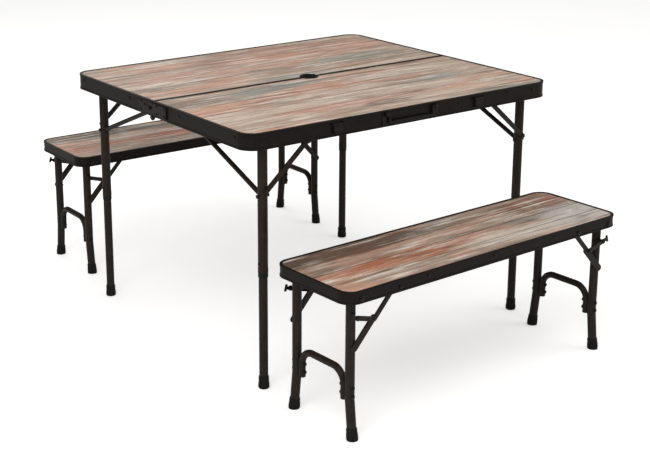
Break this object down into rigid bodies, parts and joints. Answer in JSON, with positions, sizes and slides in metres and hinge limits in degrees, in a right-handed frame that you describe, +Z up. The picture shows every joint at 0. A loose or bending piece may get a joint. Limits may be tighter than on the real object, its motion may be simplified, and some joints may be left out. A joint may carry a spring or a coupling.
{
  "type": "folding camping table with benches",
  "caption": "Folding camping table with a printed plank top, parasol hole and hinged legs, set up between loose folding benches.",
  "frame": {"origin": "on the ground, at the middle of the footprint of the table and its benches", "axes": "+X along the table's fold and the benches, +Y from the front bench to the back bench, +Z up"},
  "size_m": [1.0618, 1.688, 0.7015],
  "materials": {
    "plank_print": "printed plank foil on fibreboard, satin",
    "dark_paint": "dark brown powder coat",
    "black_plastic": "fine grained black plastic",
    "foot_rubber": "dull black rubber",
    "plated_steel": "dark plated steel"
  },
  "bodies": {
    "back_leaf": {"back_top_board": "plank_print", "back_rim_frame": "dark_paint", "back_hole_collar": "black_plastic", "back_hinge_plates": "plated_steel", "back_leg_brackets": "plated_steel"},
    "front_leaf": {"front_top_board": "plank_print", "front_rim_frame": "dark_paint", "front_hole_collar": "black_plastic", "front_hinge_plates": "plated_steel", "front_leg_brackets": "plated_steel", "rim_fittings": "plated_steel"},
    "lock_left": {"hinge_lock_left": "plated_steel"},
    "lock_right": {"hinge_lock_right": "plated_steel"},
    "handle": {"carry_handle": "black_plastic"},
    "latch_left": {"case_latch_left": "plated_steel"},
    "latch_right": {"case_latch_right": "plated_steel"},
    "leg_back_right": {"leg_back_right": "dark_paint"},
    "lower_leg_back_right": {"lower_leg_back_right": "dark_paint", "foot_back_right": "foot_rubber"},
    "brace_back_right": {"brace_back_right": "dark_paint"},
    "leg_back_left": {"leg_back_left": "dark_paint"},
    "lower_leg_back_left": {"lower_leg_back_left": "dark_paint", "foot_back_left": "foot_rubber"},
    "brace_back_left": {"brace_back_left": "dark_paint"},
    "leg_front_left": {"leg_front_left": "dark_paint"},
    "lower_leg_front_left": {"lower_leg_front_left": "dark_paint", "foot_front_left": "foot_rubber"},
    "brace_front_left": {"brace_front_left": "dark_paint"},
    "leg_front_right": {"leg_front_right": "dark_paint"},
    "lower_leg_front_right": {"lower_leg_front_right": "dark_paint", "foot_front_right": "foot_rubber"},
    "brace_front_right": {"brace_front_right": "dark_paint"},
    "front_bench": {"front_bench_board": "plank_print", "front_bench_rim": "dark_paint"},
    "front_bench_left_frame": {"front_bench_left_legs": "dark_paint", "front_bench_left_arch": "dark_paint", "front_bench_left_feet": "foot_rubber"},
    "front_bench_left_lower_stay": {"front_bench_left_stays_lower": "dark_paint"},
    "front_bench_left_upper_stay": {"front_bench_left_stays_upper": "dark_paint"},
    "front_bench_left_catch": {"front_bench_left_catches": "plated_steel"},
    "front_bench_right_frame": {"front_bench_right_legs": "dark_paint", "front_bench_right_arch": "dark_paint", "front_bench_right_feet": "foot_rubber"},
    "front_bench_right_lower_stay": {"front_bench_right_stays_lower": "dark_paint"},
    "front_bench_right_upper_stay": {"front_bench_right_stays_upper": "dark_paint"},
    "front_bench_right_catch": {"front_bench_right_catches": "plated_steel"},
    "back_bench": {"back_bench_board": "plank_print", "back_bench_rim": "dark_paint"},
    "back_bench_left_frame": {"back_bench_left_legs": "dark_paint", "back_bench_left_arch": "dark_paint", "back_bench_left_feet": "foot_rubber"},
    "back_bench_left_lower_stay": {"back_bench_left_stays_lower": "dark_paint"},
    "back_bench_left_upper_stay": {"back_bench_left_stays_upper": "dark_paint"},
    "back_bench_left_catch": {"back_bench_left_catches": "plated_steel"},
    "back_bench_right_frame": {"back_bench_right_legs": "dark_paint", "back_bench_right_arch": "dark_paint", "back_bench_right_feet": "foot_rubber"},
    "back_bench_right_lower_stay": {"back_bench_right_stays_lower": "dark_paint"},
    "back_bench_right_upper_stay": {"back_bench_right_stays_upper": "dark_paint"},
    "back_bench_right_catch": {"back_bench_right_catches": "plated_steel"}
  },
  "joints": [
    {"name": "leaf_fold", "type": "hinge", "parent": "back_leaf", "child": "front_leaf", "pos_m": [0, -0.02429, 0.6556], "axis": [1, 0, 0], "range_deg": [0, 180]},
    {"name": "leg_fold_back_right", "type": "hinge", "parent": "back_leaf", "child": "leg_back_right", "pos_m": [0.457, 0.39671, 0.675], "axis": [0, 1, 0], "range_deg": [0, 90]},
    {"name": "leg_slide_back_right", "type": "slide", "parent": "leg_back_right", "child": "lower_leg_back_right", "axis": [0, 0, 1], "range_m": [0, 0.28]},
    {"name": "brace_swing_back_right", "type": "hinge", "parent": "leg_back_right", "child": "brace_back_right", "pos_m": [0.457, 0.39671, 0.541], "axis": [0, -1, 0], "range_deg": [0, 132]},
    {"name": "leg_fold_back_left", "type": "hinge", "parent": "back_leaf", "child": "leg_back_left", "pos_m": [-0.457, 0.37871, 0.675], "axis": [0, -1, 0], "range_deg": [0, 90]},
    {"name": "leg_slide_back_left", "type": "slide", "parent": "leg_back_left", "child": "lower_leg_back_left", "axis": [0, 0, 1], "range_m": [0, 0.28]},
    {"name": "brace_swing_back_left", "type": "hinge", "parent": "leg_back_left", "child": "brace_back_left", "pos_m": [-0.457, 0.37871, 0.541], "axis": [0, 1, 0], "range_deg": [0, 132]},
    {"name": "leg_fold_front_left", "type": "hinge", "parent": "front_leaf", "child": "leg_front_left", "pos_m": [-0.457, -0.44529, 0.675], "axis": [0, -1, 0], "range_deg": [0, 90]},
    {"name": "leg_slide_front_left", "type": "slide", "parent": "leg_front_left", "child": "lower_leg_front_left", "axis": [0, 0, 1], "range_m": [0, 0.28]},
    {"name": "brace_swing_front_left", "type": "hinge", "parent": "leg_front_left", "child": "brace_front_left", "pos_m": [-0.457, -0.44529, 0.541], "axis": [0, 1, 0], "range_deg": [0, 132]},
    {"name": "leg_fold_front_right", "type": "hinge", "parent": "front_leaf", "child": "leg_front_right", "pos_m": [0.457, -0.42729, 0.675], "axis": [0, 1, 0], "range_deg": [0, 90]},
    {"name": "leg_slide_front_right", "type": "slide", "parent": "leg_front_right", "child": "lower_leg_front_right", "axis": [0, 0, 1], "range_m": [0, 0.28]},
    {"name": "brace_swing_front_right", "type": "hinge", "parent": "leg_front_right", "child": "brace_front_right", "pos_m": [0.457, -0.42729, 0.541], "axis": [0, -1, 0], "range_deg": [0, 132]},
    {"name": "handle_swing", "type": "hinge", "parent": "front_leaf", "child": "handle", "pos_m": [0, -0.48279, 0.6895], "axis": [-1, 0, 0], "range_deg": [0, 90]},
    {"name": "latch_left_swing", "type": "hinge", "parent": "front_leaf", "child": "latch_left", "pos_m": [-0.245, -0.48229, 0.6885], "axis": [-1, 0, 0], "range_deg": [0, 90]},
    {"name": "latch_right_swing", "type": "hinge", "parent": "front_leaf", "child": "latch_right", "pos_m": [0.245, -0.48229, 0.6885], "axis": [-1, 0, 0], "range_deg": [0, 90]},
    {"name": "lock_left_swing", "type": "hinge", "parent": "back_leaf", "child": "lock_left", "pos_m": [-0.5225, 0.02021, 0.67825], "axis": [-1, 0, 0], "range_deg": [0, 20]},
    {"name": "lock_right_swing", "type": "hinge", "parent": "back_leaf", "child": "lock_right", "pos_m": [0.5225, 0.02021, 0.67825], "axis": [-1, 0, 0], "range_deg": [0, 20]},
    {"name": "front_bench_slide", "type": "slide", "parent": "back_leaf", "child": "front_bench", "axis": [0, 1, 0], "range_m": [-0.3, 0.02]},
    {"name": "front_bench_left_fold", "type": "hinge", "parent": "front_bench", "child": "front_bench_left_frame", "pos_m": [-0.45758, -0.70066, 0.374], "axis": [0.0436, -0.999, 0], "range_deg": [0, 89]},
    {"name": "front_bench_left_lower_stay_swing", "type": "hinge", "parent": "front_bench_left_frame", "child": "front_bench_left_lower_stay", "pos_m": [-0.45758, -0.70066, 0.24], "axis": [0.0436, -0.999, 0], "range_deg": [-138, 0]},
    {"name": "front_bench_left_upper_stay_swing", "type": "hinge", "parent": "front_bench", "child": "front_bench_left_upper_stay", "pos_m": [-0.3337, -0.69525, 0.374], "axis": [0.0436, -0.999, 0], "range_deg": [0, 134]},
    {"name": "front_bench_left_catch_swing", "type": "hinge", "parent": "front_bench_left_frame", "child": "front_bench_left_catch", "pos_m": [-0.45758, -0.70066, 0.32], "axis": [0.0436, -0.999, 0], "range_deg": [-80, 0]},
    {"name": "front_bench_right_fold", "type": "hinge", "parent": "front_bench", "child": "front_bench_right_frame", "pos_m": [0.42958, -0.66192, 0.374], "axis": [-0.0436, 0.999, 0], "range_deg": [0, 89]},
    {"name": "front_bench_right_lower_stay_swing", "type": "hinge", "parent": "front_bench_right_frame", "child": "front_bench_right_lower_stay", "pos_m": [0.42958, -0.66192, 0.24], "axis": [-0.0436, 0.999, 0], "range_deg": [-138, 0]},
    {"name": "front_bench_right_upper_stay_swing", "type": "hinge", "parent": "front_bench", "child": "front_bench_right_upper_stay", "pos_m": [0.30569, -0.66733, 0.374], "axis": [-0.0436, 0.999, 0], "range_deg": [0, 134]},
    {"name": "front_bench_right_catch_swing", "type": "hinge", "parent": "front_bench_right_frame", "child": "front_bench_right_catch", "pos_m": [0.42958, -0.66192, 0.32], "axis": [-0.0436, 0.999, 0], "range_deg": [-80, 0]},
    {"name": "back_bench_slide", "type": "slide", "parent": "back_leaf", "child": "back_bench", "axis": [0, 1, 0], "range_m": [-0.1, 0.3]},
    {"name": "back_bench_left_fold", "type": "hinge", "parent": "back_bench", "child": "back_bench_left_frame", "pos_m": [-0.40795, 0.70068, 0.374], "axis": [-0.0157, -0.9999, 0], "range_deg": [0, 89]},
    {"name": "back_bench_left_lower_stay_swing", "type": "hinge", "parent": "back_bench_left_frame", "child": "back_bench_left_lower_stay", "pos_m": [-0.40795, 0.70068, 0.24], "axis": [-0.0157, -0.9999, 0], "range_deg": [-138, 0]},
    {"name": "back_bench_left_upper_stay_swing", "type": "hinge", "parent": "back_bench", "child": "back_bench_left_upper_stay", "pos_m": [-0.28396, 0.69874, 0.374], "axis": [-0.0157, -0.9999, 0], "range_deg": [0, 134]},
    {"name": "back_bench_left_catch_swing", "type": "hinge", "parent": "back_bench_left_frame", "child": "back_bench_left_catch", "pos_m": [-0.40795, 0.70068, 0.32], "axis": [-0.0157, -0.9999, 0], "range_deg": [-80, 0]},
    {"name": "back_bench_right_fold", "type": "hinge", "parent": "back_bench", "child": "back_bench_right_frame", "pos_m": [0.47995, 0.68674, 0.374], "axis": [0.0157, 0.9999, 0], "range_deg": [0, 89]},
    {"name": "back_bench_right_lower_stay_swing", "type": "hinge", "parent": "back_bench_right_frame", "child": "back_bench_right_lower_stay", "pos_m": [0.47995, 0.68674, 0.24], "axis": [0.0157, 0.9999, 0], "range_deg": [-138, 0]},
    {"name": "back_bench_right_upper_stay_swing", "type": "hinge", "parent": "back_bench", "child": "back_bench_right_upper_stay", "pos_m": [0.35596, 0.68868, 0.374], "axis": [0.0157, 0.9999, 0], "range_deg": [0, 134]},
    {"name": "back_bench_right_catch_swing", "type": "hinge", "parent": "back_bench_right_frame", "child": "back_bench_right_catch", "pos_m": [0.47995, 0.68674, 0.32], "axis": [0.0157, 0.9999, 0], "range_deg": [-80, 0]}
  ],
  "couplings": [
    {"joint": "leg_fold_back_right", "follows": "leaf_fold", "ratio": 0.5},
    {"joint": "leg_slide_back_right", "follows": "leaf_fold", "m_per_rad": 0.08912},
    {"joint": "brace_swing_back_right", "follows": "leaf_fold", "ratio": 0.7299},
    {"joint": "leg_fold_back_left", "follows": "leaf_fold", "ratio": 0.5},
    {"joint": "leg_slide_back_left", "follows": "leaf_fold", "m_per_rad": 0.08912},
    {"joint": "brace_swing_back_left", "follows": "leaf_fold", "ratio": 0.7299},
    {"joint": "leg_fold_front_left", "follows": "leaf_fold", "ratio": 0.5},
    {"joint": "leg_slide_front_left", "follows": "leaf_fold", "m_per_rad": 0.08912},
    {"joint": "brace_swing_front_left", "follows": "leaf_fold", "ratio": 0.7299},
    {"joint": "leg_fold_front_right", "follows": "leaf_fold", "ratio": 0.5},
    {"joint": "leg_slide_front_right", "follows": "leaf_fold", "m_per_rad": 0.08912},
    {"joint": "brace_swing_front_right", "follows": "leaf_fold", "ratio": 0.7299},
    {"joint": "front_bench_left_lower_stay_swing", "follows": "front_bench_left_fold", "ratio": -1.5247},
    {"joint": "front_bench_left_upper_stay_swing", "follows": "front_bench_left_fold", "ratio": 1.4753},
    {"joint": "front_bench_left_catch_swing", "follows": "front_bench_left_fold", "ratio": -0.8236},
    {"joint": "front_bench_right_lower_stay_swing", "follows": "front_bench_right_fold", "ratio": -1.5247},
    {"joint": "front_bench_right_upper_stay_swing", "follows": "front_bench_right_fold", "ratio": 1.4753},
    {"joint": "front_bench_right_catch_swing", "follows": "front_bench_right_fold", "ratio": -0.8236},
    {"joint": "back_bench_left_lower_stay_swing", "follows": "back_bench_left_fold", "ratio": -1.5247},
    {"joint": "back_bench_left_upper_stay_swing", "follows": "back_bench_left_fold", "ratio": 1.4753},
    {"joint": "back_bench_left_catch_swing", "follows": "back_bench_left_fold", "ratio": -0.8236},
    {"joint": "back_bench_right_lower_stay_swing", "follows": "back_bench_right_fold", "ratio": -1.5247},
    {"joint": "back_bench_right_upper_stay_swing", "follows": "back_bench_right_fold", "ratio": 1.4753},
    {"joint": "back_bench_right_catch_swing", "follows": "back_bench_right_fold", "ratio": -0.8236}
  ]
}
